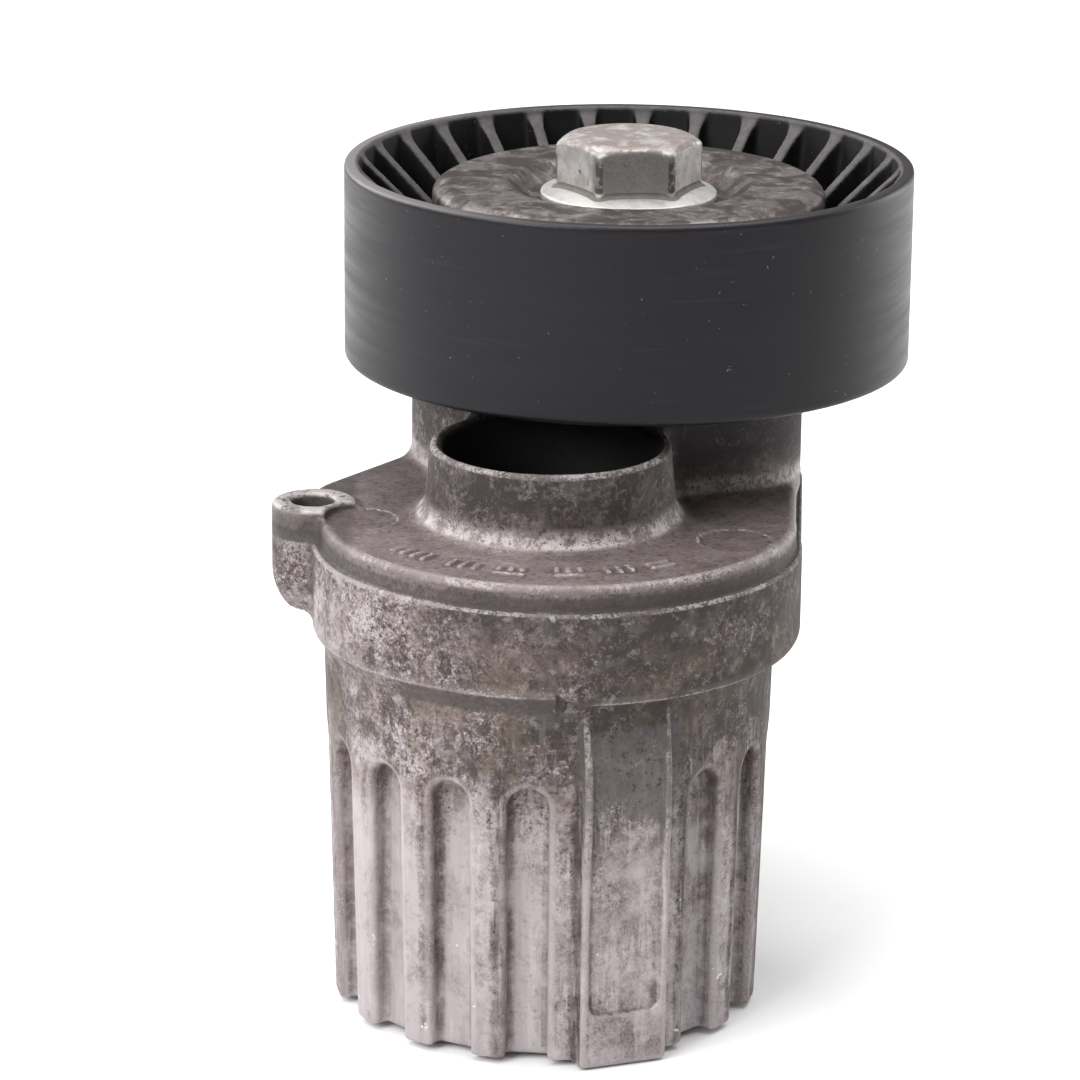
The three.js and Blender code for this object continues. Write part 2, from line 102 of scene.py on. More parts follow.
def smax(a, b, k):
    """Overlap of two fields, blended over k."""
    return -smin(-a, -b, k)


def slab(plan, z, z0, z1, rnd):
    """Upright body over a plan distance, its edges rounded."""
    a = plan + rnd
    b = np.abs(z - (z0 + z1) / 2) - (z1 - z0) / 2 + rnd
    return np.minimum(np.maximum(a, b), 0) + np.hypot(np.maximum(a, 0), np.maximum(b, 0)) - rnd


def rectangle(u, v, half_u, half_v):
    """Plan distance to a rectangle, nothing inside it."""
    return np.hypot(np.maximum(np.abs(u) - half_u, 0), np.maximum(np.abs(v) - half_v, 0))


def belt(x, y, c1, r1, c2, r2):
    """Plan distance to the outline stretched round two circles."""
    dx, dy = c2[0] - c1[0], c2[1] - c1[1]
    h = math.hypot(dx, dy)
    dx, dy = dx / h, dy / h
    px = np.abs((x - c1[0]) * dy - (y - c1[1]) * dx)
    py = (x - c1[0]) * dx + (y - c1[1]) * dy
    b = (r1 - r2) / h
    a = math.sqrt(1 - b * b)
    k = -b * px + a * py
    low = np.hypot(px, py) - r1
    high = np.hypot(px, py - h) - r2
    side = a * px + b * py - r1
    return np.where(k < 0, low, np.where(k > a * h, high, side))


def outline(x, y):
    """Plan distance to the drum, the bridge to the pillar and the web behind the ear."""
    drum_plan = np.hypot(x - DRUM[0], y - DRUM[1]) - DRUM_R
    bridge = belt(x, y, BRIDGE, BRIDGE_R, PILLAR, PILLAR_R)
    web = belt(x, y, WEB_FRONT, WEB_FRONT_R, WEB_BACK, WEB_BACK_R)
    return np.minimum(np.minimum(drum_plan, bridge), web)


def barrel_radius(z):
    return BARREL_R0 + (BARREL_R1 - BARREL_R0) * (z - RIM_Z) / (DRUM_Z0 - RIM_Z)


def across_and_out(r, degrees):
    """Distance across and outward from a line at zero degrees."""
    near = np.radians(degrees)
    return r * np.sin(near), r * np.cos(near)


def barrel(r, bearing, z):
    """Tapered barrel with arched pockets."""
    d = slab(r - barrel_radius(z), z, RIM_Z, BARREL_TOP, 0.5)
    rel = (bearing - FIRST + PITCH / 2) % 360 - PITCH / 2
    t, q = across_and_out(r, rel - np.clip(np.round(rel / PITCH), 0, POCKETS - 1) * PITCH)
    above = z - POCKET_TOP
    arch = np.where(above > 0, np.hypot(t, above), np.abs(t)) - POCKET_HALF
    return smax(d, -smax(arch, POCKET_FLOOR - q, 0.8), 0.95)


def add_pad(d, r, bearing, z):
    """Flat pad on the front of the barrel, with a sunk panel and a sloping top."""
    t, q = across_and_out(r, bearing - PAD_ANGLE)
    front = barrel_radius(z) + PAD_PROUD
    face = smax(q - front, q - front + (z - PAD_TOP + 3.6) * 0.28, 1.2)
    pad = smax(np.abs(t) - PAD_HALF, smax(face, 0.1 - z, 0.9), 0.55)
    d = smin(d, np.maximum(pad, PAD_ROOT - q), 0.5)
    beside = np.maximum(np.abs(t) - PANEL_HALF + PANEL_CORNER, 0)
    below = np.maximum(PANEL_FOOT + PANEL_CORNER - z, 0)
    panel = np.hypot(beside, below) - PANEL_CORNER
    return smax(d, -np.maximum(panel, front - PANEL_DEPTH - q), 0.15)


def drum(x, y, z, plan):
    """Drum with a chamfered foot at the front left and the rounded lobe of the arm elsewhere."""
    inset = plan - 0.2 + 0.5 * np.clip((x + 25.0) / 10.0, 0, 1)
    left = slab(inset, z, DRUM_Z0, FLANGE_Z0, 0.3)
    left = smax(left, inset * 0.8 - (z - DRUM_Z0 - 2.3) * 0.6, 0.15)
    split = np.maximum(x - LOBE_EDGE, y - 2.0)
    left = smax(left, split, 0.3)
    right = smax(slab(plan, z, DRUM_Z0 + 0.9, FLANGE_Z0 + 4, 1.9), z - FLANGE_Z0, 0.4)
    beside = np.maximum(LOBE_EDGE + 4.0 - x, 0)
    below = np.maximum(DRUM_Z0 + 6.0 - z, 0)
    corner = np.hypot(beside, below) - LOBE_CORNER
    right = smax(right, np.where(y < 0, corner, -split), 0.4)
    return smin(left, right, 0.2)


def add_top(d, x, y, z, plan):
    """Stepped flange lip, pillar, collar and neck."""
    r = np.hypot(x, y)
    d = smin(d, slab(plan + 0.75, z, FLANGE_Z0 - 1, FLANGE_Z, 1.0), 0.15)
    post = belt(x, y, PILLAR, PILLAR_R, CHEEK, CHEEK_R) + 0.3
    wall = smin(d, slab(post, z, FLANGE_Z - 1, PILLAR_TOP, 0.9), 1.9)
    d = smax(wall, plan + 0.3 + np.where(z < FLANGE_Z - 1, -3.0, 0.0), 0.25)
    cone = COLLAR_R0 + (COLLAR_R1 - COLLAR_R0) * (z - FLANGE_Z) / (COLLAR_Z - FLANGE_Z)
    d = smin(d, slab(r - cone, z, FLANGE_Z - 2, COLLAR_Z, 0.45), 2.8)
    neck = np.hypot(x - AX, y - AY) - NECK_R
    return smin(d, slab(neck, z, PILLAR_TOP - 2, NECK_TOP, 0.3), 1.5)


def add_ear(d, x, y, z):
    """Ear with a domed foot and its pin hole."""
    mid = EAR_TOP - EAR_HALF
    re = np.hypot(x - EAR[0], y - EAR[1])
    dome = np.hypot(re, np.minimum(z - mid + 0.5, 0) * 0.78)
    d = smin(d, smax(dome - EAR_R, np.abs(z - mid) - EAR_HALF, 0.8), 1.3)
    return smax(d, PIN_R - re, 0.5)


def hollow(d, x, y, z):
    """Bore in the collar, spring cavity, bushing seats and the bolt hole."""
    r = np.hypot(x, y)
    d = smax(d, -slab(r - BORE_R, z, BORE_FLOOR, BORE_TOP, 0.05), 0.9)
    d = smax(d, -slab(r - BORE_R - 0.5, z, COLLAR_Z - 0.3, 90, 0.05), 0.6)
    cavity = slab(r - CAVITY_R, z, -9, CAVITY_TOP, 1.5)
    d = smax(d, -smax(cavity, -slab(r - HUB_R, z, HUB_Z, 60, 0.4), 0.4), 0.4)
    seats = [slab(r - BUSH_R, z, low, high, 0.02) for low, high in BUSH_SEATS]
    d = np.maximum(d, -np.minimum(np.minimum(*seats), r - SPINDLE_R + 0 * z))
    return np.maximum(d, -slab(np.hypot(x - AX, y - AY) - BOLT_HOLE_R, z, 50, 95, 0.02))


def add_marks(d, x, y, z):
    """Shallow ejector rings and plain raised bars on the flange."""
    for ex, ey in EJECTORS:
        ring = np.hypot(x - ex, y - ey) - EJECTOR_R
        d = smax(d, -slab(ring, z, FLANGE_Z - 0.22, 64, 0.05), 0.12)
    for turn, radius, long, wide in MARKS:
        c, s = math.cos(math.radians(turn)), math.sin(math.radians(turn))
        bar = rectangle(x * c + y * s - radius, y * c - x * s, long, wide) - MARK_ROUND
        d = smin(d, slab(bar, z, FLANGE_Z - 0.4, FLANGE_Z + MARK_RISE, 0.12), 0.2)
    return d


def casting(x, y, z):
    """The whole arm casting: barrel, drum, pillar, ear, then its hollows and marks."""
    plan = outline(x, y)
    r, bearing = np.hypot(x, y), np.degrees(np.arctan2(y, x))
    d = add_pad(barrel(r, bearing, z), r, bearing, z)
    d = smin(d, drum(x, y, z, plan), 0.35)
    d = add_top(d, x, y, z, plan)
    d = add_ear(d, x, y, z)
    d = hollow(d, x, y, z)
    return add_marks(d, x, y, z)


def sloping_ribs(r, bearing, h):
    """Ribs on both faces of the pulley web, high at the rim and low at the sleeve."""
    half = (Z1 - Z0) / 2
    step = 2 * math.pi / RIBS
    near = (bearing - math.radians(RIB_TURN) + step / 2) % step - step / 2
    t, q = r * np.sin(near), r * np.cos(near)
    slope = (h - (half - 0.6 - RIB_SLOPE * np.maximum(RIB_HIGH_R - q, 0))) * 0.72
    thick = RIB_HALF + RIB_FLARE * np.clip((q - 31.6) / 1.8, 0, 1)
    rib = smax(np.abs(t) - thick, slope, 0.3)
    return np.maximum(rib, np.maximum(RIB_FOOT_R - q, q - RIM_R - 0.6))


def pulley(x, y, z):
    """Flat rim, web and bearing sleeve, with sloping ribs on both faces."""
    x, y = x - AX, y - AY
    r = np.hypot(x, y)
    mid, half = (Z0 + Z1) / 2, (Z1 - Z0) / 2
    h = np.abs(z - mid)
    rim = smax(slab(r - PULLEY_R, z, Z0, Z1, 0.55), RIM_R - RIM_DRAFT * (half - h) - r, 0.5)
    sleeve = smax(slab(r - SLEEVE_R, z, SLEEVE_Z0, SLEEVE_Z1, 0.4), SEAT_R - r, 0.3)
    web = slab(r - RIM_R - 0.5, z, mid - WEB_HALF, mid + WEB_HALF, 0.1)
    web = np.maximum(web, WEB_R0 - r)
    d = smin(smin(rim, web, 1.4), sleeve, 1.4)
    return smin(d, sloping_ribs(r, np.arctan2(y, x), h), 0.6)


def hex_head(x, y, z, r):
    """Hexagon with rounded edges and a turned chamfer at its top."""
    d = np.full(np.broadcast(x, y, z).shape, -9.0, dtype=np.float32)
    for k in range(6):
        a = math.radians(HEX_TURN + 90 + 60 * k)
        d = smax(d, x * math.cos(a) + y * math.sin(a) - HEX_HALF, 0.6)
    d = smax(d, np.abs(z - (HEX_Z + HEAD_TOP) / 2) - (HEAD_TOP - HEX_Z) / 2, 0.3)
    return smax(d, (r + 1.75 * (z - HEAD_TOP) - HEX_TOP_R) * 0.5, 0.4)


def bolt(x, y, z):
    """Hex head on a coned flange, with a plain shank."""
    x, y = x - AX, y - AY
    r = np.hypot(x, y)
    washer = slab(r - WASHER_R, z, SEAT_Z + 0.06, SEAT_Z + 1.9, 0.25)
    washer = smax(washer, (z - SEAT_Z - 1.15) * 0.94 + (r - 10.5) * 0.34, 0.25)
    shank = slab(r - SHANK_R, z, SHANK_Z, SEAT_Z + 0.8, 0.6)
    return smin(smin(hex_head(x, y, z, r), washer, 0.5), shank, 0.3)


# ------------------------------------------------------------------ meshes
def gradient(field, p, e=0.02):
    """Slope of a field at each point, by central differences."""
    x, y, z = p[:, 0], p[:, 1], p[:, 2]
    return np.stack([
        field(x + e, y, z) - field(x - e, y, z),
        field(x, y + e, z) - field(x, y - e, z),
        field(x, y, z + e) - field(x, y, z - e),
    ], 1) / (2 * e)


def polish(field, p):
    """Moves points onto the surface of a field in two Newton steps."""
    for _ in range(2):
        d = field(p[:, 0], p[:, 1], p[:, 2])
        g = gradient(field, p)
        n = np.maximum((g * g).sum(1), 0.25)
        p = p - np.clip(d / n, -0.12, 0.12)[:, None] * g
    return p


def curvature(field, p, e=0.4):
    """How sharply the surface turns at each point: about 0.5 flat, 1 an edge, 0 a corner."""
    x, y, z = p[:, 0], p[:, 1], p[:, 2]
    total = -6 * field(x, y, z)
    total += field(x + e, y, z) + field(x - e, y, z) + field(x, y + e, z) + field(x, y - e, z)
    total += field(x, y, z + e) + field(x, y, z - e)
    return np.clip(0.5 + 0.25 * total / (e * e), 0, 1)


def put_mesh(name, verts, faces):
    """Smooth mesh object from vertices in mm and faces as rows of equal length."""
    me = bpy.data.meshes.new(name)
    me.vertices.add(len(verts))
    me.vertices.foreach_set("co", (np.asarray(verts, np.float32) * MM).ravel())
    me.loops.add(faces.size)
    me.loops.foreach_set("vertex_index", faces.astype(np.int32).ravel())
    me.polygons.add(len(faces))
    me.polygons.foreach_set("loop_start", np.arange(0, faces.size, faces.shape[1], dtype=np.int32))
    me.update(calc_edges=True)
    me.validate()
    me.polygons.foreach_set("use_smooth", np.ones(len(me.polygons), bool))
    ob = bpy.data.objects.new(name, me)
    bpy.context.scene.collection.objects.link(ob)
    return ob


def field_mesh(name, field, lo, hi, h):
    """Mesh of a field's zero surface in a box, sampled every h mm, with its curvature as "turn"."""
    lo = np.asarray(lo, float)
    n = np.ceil((np.asarray(hi, float) - lo) / h).astype(int) + 1
    x, y, z = (lo[i] + h * np.arange(n[i]) for i in range(3))
    values = np.empty(n, np.float32)
    layers = 24
    for i in range(0, n[2], layers):
        values[:, :, i:i + layers] = field(x[:, None, None], y[None, :, None], z[None, None, i:i + layers])
    grid = openvdb.FloatGrid(float(3 * h))
    grid.copyFromArray(np.clip(values, -3 * h, 3 * h))
    pts, quads = grid.convertToQuads(0.0)
    pts = pts.astype(float) * h + lo
    quads = quads.astype(np.int64)
    a, b, c = pts[quads[:, 0]], pts[quads[:, 1]], pts[quads[:, 2]]
    if (a * np.cross(b, c)).sum() < 0:
        quads = quads[:, ::-1]
    pts = polish(field, pts)
    ob = put_mesh(name, pts, quads)
    turn = ob.data.attributes.new("turn", "FLOAT", "POINT")
    turn.data.foreach_set("value", curvature(field, pts).astype(np.float32))
    return ob


def turned(name, profile, cx, cy, seg=160):
    """Lathe body of a closed profile in radius and height."""
    prof = np.asarray(profile, float)
    n = len(prof)
    a = np.linspace(0, 2 * math.pi, seg, endpoint=False)
    v = np.empty((seg, n, 3))
    v[:, :, 0] = cx + prof[:, 0] * np.cos(a)[:, None]
    v[:, :, 1] = cy + prof[:, 0] * np.sin(a)[:, None]
    v[:, :, 2] = prof[:, 1]
    i, j = np.arange(seg)[:, None], np.arange(n)[None, :]
    i2, j2 = (i + 1) % seg, (j + 1) % n
    f = np.stack([i * n + j, i2 * n + j, i2 * n + j2, i * n + j2], -1).reshape(-1, 4)
    return put_mesh(name, v.reshape(-1, 3), f)


def rounded(points, radii, steps=5):
    """Closed profile with each corner rounded by its own radius."""
    pts = [np.array(p, float) for p in points]
    out = []
    for i, p in enumerate(pts):
        u, w = pts[i - 1] - p, pts[(i + 1) % len(pts)] - p
        lu, lw = np.linalg.norm(u), np.linalg.norm(w)
        u, w = u / lu, w / lw
        half = math.acos(float(np.clip(u @ w, -1, 1))) / 2
        if half > 1.5:
            out.append(p)
            continue
        cut = min(radii[i] / math.tan(half), 0.48 * lu, 0.48 * lw)
        start, end = p + u * cut, p + w * cut
        for k in range(steps + 1):
            q = k / steps
            out.append((1 - q) ** 2 * start + 2 * q * (1 - q) * p + q * q * end)
    return out


# ------------------------------------------------------------------ materials
class Look:
    """Node material, its colour painted layer by layer. Sizes and ends of spans are in mm."""

    def __init__(self, name):
        self.mat = bpy.data.materials.new(name)
        self.mat.use_nodes = True
        self.tree = self.mat.node_tree
        self.tree.nodes.clear()
        out = self.tree.nodes.new("ShaderNodeOutputMaterial")
        self.shader = self.tree.nodes.new("ShaderNodeBsdfPrincipled")
        self.tree.links.new(self.shader.outputs[0], out.inputs[0])
        self.at = self.tree.nodes.new("ShaderNodeTexCoord").outputs["Object"]
        self.x, self.y, self.z = self.node("ShaderNodeSeparateXYZ", {0: self.at}).outputs
        self.colour = None

    def plug(self, socket, value):
        if isinstance(value, bpy.types.NodeSocket):
            self.tree.links.new(value, socket)
        else:
            socket.default_value = value

    def node(self, kind, inputs=None, **props):
        n = self.tree.nodes.new(kind)
        for key, value in props.items():
            setattr(n, key, value)
        for key, value in (inputs or {}).items():
            self.plug(n.inputs[key], value)
        return n

    def math(self, op, a, b=0.0, c=0.0, clamp=False):
        return self.node("ShaderNodeMath", {0: a, 1: b, 2: c}, operation=op, use_clamp=clamp).outputs[0]

    def add(self, a, b):
        return self.math("ADD", a, b)

    def less(self, a, b):
        return self.math("SUBTRACT", a, b)

    def times(self, a, *factors):
        for factor in factors:
            a = self.math("MULTIPLY", a, factor)
        return a

    def scaled_add(self, a, scale, b):
        return self.math("MULTIPLY_ADD", a, scale, b)

    def noise(self, size, detail, rough, stretch=(1, 1, 1), at=None, distort=0.0):
        scale = tuple(1 / MM / size / s for s in stretch)
        place = self.node("ShaderNodeMapping", {0: at or self.at, 3: scale}).outputs[0]
        values = {"Vector": place, "Scale": 1.0, "Detail": detail, "Roughness": rough}
        return self.node("ShaderNodeTexNoise", {**values, "Distortion": distort}).outputs[0]

    def ramp(self, v, lo, hi, a=0.0, b=1.0):
        """Smooth step from a to b as v goes from lo to hi."""
        values = {0: v, 1: lo, 2: hi, 3: a, 4: b}
        return self.node("ShaderNodeMapRange", values, interpolation_type="SMOOTHSTEP").outputs[0]

    def span(self, v, lo, hi, a=0.0, b=1.0):
        """Smooth step over a length, its ends in mm."""
        return self.ramp(v, lo * MM, hi * MM, a, b)

    def band(self, v, a, b, c, d):
        """Rises from a to b and falls from c to d, all in mm."""
        return self.times(self.span(v, a, b), self.span(v, d, c))

    def colours(self, v, stops):
        """Colour ramp of (position, colour) pairs."""
        n = self.node("ShaderNodeValToRGB", {0: v})
        marks = n.color_ramp.elements
        while len(marks) < len(stops):
            marks.new(0.5)
        for mark, (position, colour) in zip(marks, stops):
            mark.position = position
            mark.color = (*colour, 1)
        return n.outputs[0]

    def curve(self, v, stops):
        """Grey ramp of (position, value) pairs."""
        grey = self.colours(v, [(position, (g, g, g)) for position, g in stops])
        return self.node("ShaderNodeRGBToBW", {0: grey}).outputs[0]

    def mix(self, amount, a, b):
        n = self.node("ShaderNodeMix", {0: amount}, data_type="RGBA")
        for i, value in ((6, a), (7, b)):
            self.plug(n.inputs[i], (*value, 1) if isinstance(value, tuple) else value)
        return n.outputs[2]

    def paint(self, amount, colour):
        self.colour = self.mix(amount, self.colour, colour)

    def turn(self):
        """Curvature stored on the mesh."""
        return self.node("ShaderNodeAttribute", attribute_name="turn").outputs["Fac"]

    def polar(self, cx, cy):
        """Radius in metres and angle in radians about an upright axis."""
        dx, dy = self.less(self.x, cx * MM), self.less(self.y, cy * MM)
        r = self.math("SQRT", self.add(self.times(dx, dx), self.times(dy, dy)))
        return r, self.math("ARCTAN2", dy, dx)

    def vector(self, x, y, z):
        return self.node("ShaderNodeCombineXYZ", {0: x, 1: y, 2: z}).outputs[0]

    def bump(self, height, depth, strength, normal=None):
        values = {"Height": height, "Distance": depth * MM, "Strength": strength}
        if normal is not None:
            values["Normal"] = normal
        return self.node("ShaderNodeBump", values).outputs[0]

    def done(self, rough, metal, normal=None, **more):
        values = {"Base Color": self.colour, "Roughness": rough, "Metallic": metal, **more}
        if normal is not None:
            values["Normal"] = normal
        for key, value in values.items():
            self.plug(self.shader.inputs[key], value)
        return self.mat


# curves against height on the casting: fraction of CURVE_TOP in mm, value
CURVE_TOP = 80.0
SOOT = [(0.0, 0.13), (0.3, 0.23), (0.42, 0.46), (0.52, 0.92), (0.57, 0.86), (0.70, 0.88),
        (0.742, 0.66), (0.753, 0.50), (0.770, 0.60), (0.82, 1.0), (0.95, 0.90)]
SPOTS = [(0.0, 0.15), (0.3, 0.2), (0.42, 0.7), (0.5, 1.0), (0.66, 0.8), (0.73, 0.3), (0.75, 0.0),
         (0.775, 0.3), (0.85, 1.0)]
CONTRAST = [(0.0, 0.5), (0.35, 0.6), (0.5, 0.8), (0.6, 0.8), (0.72, 0.7), (0.75, 0.28), (0.77, 0.3),
            (0.82, 0.7), (1.0, 0.6)]
SALT = [(0.0, 0.15), (0.4, 0.25), (0.52, 1.0), (0.72, 0.9), (0.75, 0.2), (0.8, 0.35), (1.0, 0.9)]
# colours of the casting from bare metal to full soot
BARE_TO_SOOT = [(0.0, (0.42, 0.373, 0.382)), (0.2, (0.325, 0.280, 0.286)), (0.45, (0.180, 0.141, 0.140)),
                (0.7, (0.092, 0.068, 0.066)), (1.0, (0.036, 0.027, 0.024))]


class CastLook(Look):
    """Look of the casting, with the noises its layers share."""

    def __init__(self, name):
        super().__init__(name)
        self.r, self.bearing = self.polar(0.0, 0.0)
        self.height = self.math("DIVIDE", self.z, CURVE_TOP * MM)
        self.cloud = self.noise(9.0, 3, 0.6)
        self.patch = self.noise(2.6, 4, 0.62, distort=0.4)
        self.fine = self.noise(0.7, 4, 0.7)
        self.grain = self.noise(0.28, 2, 0.7)
        self.grit = self.add(self.times(self.fine, 0.55), self.times(self.grain, 0.45))
        self.lug = self.times(self.span(self.x, -22.8, -24.2), self.span(self.z, 56.0, 58.5))
        # mask of the painted shade inside the bore; it also lowers the metallic there
        self.bore_shade = self.times(self.span(self.r, 13.6, 13.1), self.span(self.z, 70.0, 68.8))


def light_and_shade_by_side(m):
    """Soot taken away on the left and on the pocket floors and added on the right and the flanks, all
    painted light and shade: paler on the left and darker on the right as the key light falls, painted shade
    on the flanks, painted light on the pocket floors.
    """
    # painted light and shade: paler to the left, darker to the right, as the key light falls
    side = m.span(m.x, -26.0, 12.0, -0.42, 0.12)
    side = m.times(side, m.span(m.z, 12.0, 45.0, 0.45, 1.0), m.span(m.z, 59.5, 57.0, 0.1, 1.0))
    # painted shade on both flanks of the barrel
    flank = m.times(m.span(m.math("ABSOLUTE", m.x), 21.5, 26.8), m.span(m.z, 46.0, 40.0))
    side = m.scaled_add(flank, 0.42, side)
    # painted light on the pocket floors
    painted_floor_light = m.times(m.span(m.z, 36.0, 33.0), m.span(m.r, 25.35, 24.8))
    return m.scaled_add(painted_floor_light, -0.10, side)


def soot_and_shade_on_lands(m, side):
    """Dirt and painted shade on the right flank of each land between the pockets, the side turned from the
    key light.
    """
    part = m.scaled_add(m.bearing, 180 / math.pi, PITCH / 2 - FIRST)
    part = m.math("FRACT", m.math("DIVIDE", m.math("FLOORED_MODULO", part, 360.0), PITCH))
    # painted shade, with dirt, on the right side of each land
    lee = m.times(m.ramp(part, 0.0, 0.11), m.ramp(part, 0.32, 0.26))
    lee = m.times(lee, m.times(m.span(m.z, 37.5, 33.0), m.span(m.r, 27.4, 27.1)))
    lee = m.times(lee, m.span(m.x, -23.0, -8.0, 0.4, 1.0))
    return m.scaled_add(lee, m.ramp(m.noise(5.0, 3, 0.6), 0.35, 0.6, 0.25, 0.5), side)


def soot_grain(m):
    """How strongly the fine grit breaks up the soot."""
    coarse = m.ramp(m.noise(7.0, 4, 0.65, distort=0.6), 0.44, 0.58)
    coarse = m.times(coarse, m.curve(m.height, SPOTS))
    smooth = m.times(m.span(m.x, -17.0, -22.5), m.span(m.z, 52.0, 46.0))
    coarse = m.times(coarse, m.scaled_add(smooth, -0.85, 1.0))
    least = m.times(m.span(m.z, 57.5, 59.5, 1.2, 0.8), m.span(m.z, 30.0, 42.0, 0.7, 1.0))
    return m.scaled_add(coarse, 3.2, least)


def soot_amount(m):
    """0 bare metal, 1 full soot, with the painted light and shade by side and on the lands added in."""
    side = soot_and_shade_on_lands(m, light_and_shade_by_side(m))
    speck = m.scaled_add(m.patch, 0.42, m.times(m.cloud, 0.42))
    speck = m.scaled_add(m.fine, 0.10, speck)
    speck = m.scaled_add(m.grain, 0.06, speck)
    gain = m.times(m.curve(m.height, CONTRAST), 4.0)
    low = m.scaled_add(m.less(m.grit, 0.5), soot_grain(m), m.curve(m.height, SOOT))
    return m.math("MULTIPLY_ADD", m.less(speck, 0.50), gain, m.add(low, side), clamp=True)


def paint_barrel(m):
    """Drawn streaks on the bare barrel and a cooler cast in places."""
    bare = m.span(m.z, 46.0, 34.0)
    streak = m.noise(1.1, 3, 0.6, stretch=(1, 1, 9))
    m.paint(m.times(bare, m.ramp(streak, 0.5, 0.72, 0.0, 0.5)), (0.30, 0.268, 0.272))
    m.paint(m.times(bare, m.ramp(streak, 0.46, 0.34, 0.0, 0.35)), (0.56, 0.525, 0.535))
    m.paint(m.times(m.ramp(m.noise(4.0, 3, 0.6), 0.5, 0.66), 0.25), (0.195, 0.176, 0.182))


def paint_mottle(m):
    """Dark and light mottle on the drum and the pillar."""
    mottle = m.noise(1.7, 5, 0.75, distort=0.3)
    zone = m.math("MAXIMUM", m.band(m.z, 34.0, 40.0, 56.5, 57.5), m.span(m.z, 63.2, 64.4))
    m.paint(m.times(zone, m.ramp(mottle, 0.53, 0.64, 0.0, 0.6)), (0.042, 0.032, 0.028))
    m.paint(m.times(zone, m.ramp(mottle, 0.46, 0.35, 0.0, 0.5)), (0.27, 0.235, 0.23))


def paint_crust(m):
    """Ochre tint and clumps of dirt where the barrel meets the drum."""
    ochre = m.times(m.band(m.z, 26.0, 36.0, 46.0, 56.0), m.ramp(m.noise(6.0, 4, 0.65), 0.46, 0.60, 0.0, 0.5))
    m.paint(ochre, (0.150, 0.112, 0.082))
    clump = m.ramp(m.noise(3.4, 5, 0.72, distort=0.5), 0.50, 0.60, 0.0, 0.75)
    clump = m.times(m.band(m.z, 32.0, 37.0, 45.5, 48.0), clump)
    clump = m.times(clump, m.ramp(m.noise(0.8, 3, 0.7), 0.36, 0.52, 0.25, 1.0))
    m.paint(clump, (0.052, 0.038, 0.030))


def paint_pad(m):
    """Darker upper part of the flat pad, with a ragged lower edge."""
    ragged = m.add(m.z, m.times(m.less(m.patch, 0.5), 0.02))
    upper = m.times(m.span(ragged, 28.5, 32.5), m.span(m.z, 42.5, 41.5))
    pad = m.times(m.times(upper, m.band(m.x, 3.6, 4.2, 14.8, 16.5)), m.span(m.y, -20.5, -22.5))
    m.paint(m.times(pad, 0.72), (0.098, 0.086, 0.089))


def paint_cove(m):
    """Painted shade on the smooth cove under the left half of the drum, and along its upper edge a painted
    highlight broken up like rubbed wear.
    """
    # painted shade on the downward-facing cove
    cove = m.times(m.band(m.z, 44.0, 44.6, 46.5, 46.9), m.band(m.x, -22.0, -15.0, 0.4, 1.0))
    m.paint(m.times(cove, m.ramp(m.patch, 0.35, 0.7, 0.95, 0.6)), (0.062, 0.049, 0.046))
    # painted highlight along the ledge, broken up like rubbed wear
    rubbed_and_highlit = m.times(m.span(m.x, 1.0, 0.4), m.ramp(m.grit, 0.47, 0.58))
    ledge = m.times(m.band(m.z, 46.6, 46.8, 47.0, 48.0), rubbed_and_highlit)
    m.paint(m.times(ledge, m.ramp(m.cloud, 0.4, 0.6, 0.1, 0.7)), (0.46, 0.42, 0.41))


def paint_bloom(m):
    """Whitish bloom at the foot of the collar and pillar and in spots elsewhere."""
    foot_zone = m.times(m.band(m.z, 60.4, 60.9, 61.4, 63.2), m.ramp(m.add(m.fine, m.patch), 0.86, 1.08))
    m.paint(m.times(foot_zone, 0.75), (0.56, 0.51, 0.50))
    salt = m.times(m.ramp(m.fine, 0.60, 0.70), m.ramp(m.patch, 0.44, 0.6))
    m.paint(m.times(salt, m.curve(m.height, SALT), 0.6), (0.55, 0.50, 0.48))


def paint_spots(m, soot):
    """Black specks in the soot and bright chips low on the barrel."""
    char = m.times(m.ramp(m.noise(0.7, 3, 0.7), 0.57, 0.66), m.ramp(soot, 0.35, 0.75))
    m.paint(m.times(char, 0.85), (0.028, 0.022, 0.020))
    chip = m.times(m.ramp(m.noise(2.1, 4, 0.6), 0.70, 0.715), m.span(m.z, 30.0, 15.0))
    m.paint(m.times(chip, 0.8), (0.74, 0.72, 0.72))


def paint_edges(m):
    """Edges rubbed bright, dirt and painted shade in the corners, and the wall of the lip filled dark."""
    turn = m.turn()
    edge = m.times(m.ramp(turn, 0.60, 0.80), m.ramp(m.grit, 0.42, 0.56))
    edge = m.times(edge, m.ramp(m.add(m.patch, m.cloud), 0.82, 1.12, 0.15, 1.0))
    edge = m.times(edge, m.span(m.z, 30.0, 45.0, 0.8, 1.0), m.ramp(m.lug, 0.0, 1.0, 1.0, 0.35))
    seam = m.span(m.math("ABSOLUTE", m.less(m.x, 1.2 * MM)), 5.0, 3.0)
    seam = m.times(seam, m.band(m.z, 44.5, 45.5, 55.8, 56.6))
    edge = m.times(edge, m.ramp(seam, 0.0, 1.0, 1.0, 0.12))
    m.paint(m.times(edge, 0.62), (0.54, 0.49, 0.48))
    # dirt and painted shade in the concave corners
    corner_dirt_and_shade = m.times(m.ramp(turn, 0.44, 0.28), m.ramp(m.patch, 0.3, 0.6))
    m.paint(m.times(corner_dirt_and_shade, m.span(m.z, 30.0, 46.0, 0.42, 0.8)), (0.07, 0.058, 0.052))
    lip = m.band(m.z, 56.9, 57.2, 58.4, 59.0)
    m.paint(m.times(lip, m.ramp(m.patch, 0.35, 0.7, 0.92, 0.5)), (0.050, 0.040, 0.037))


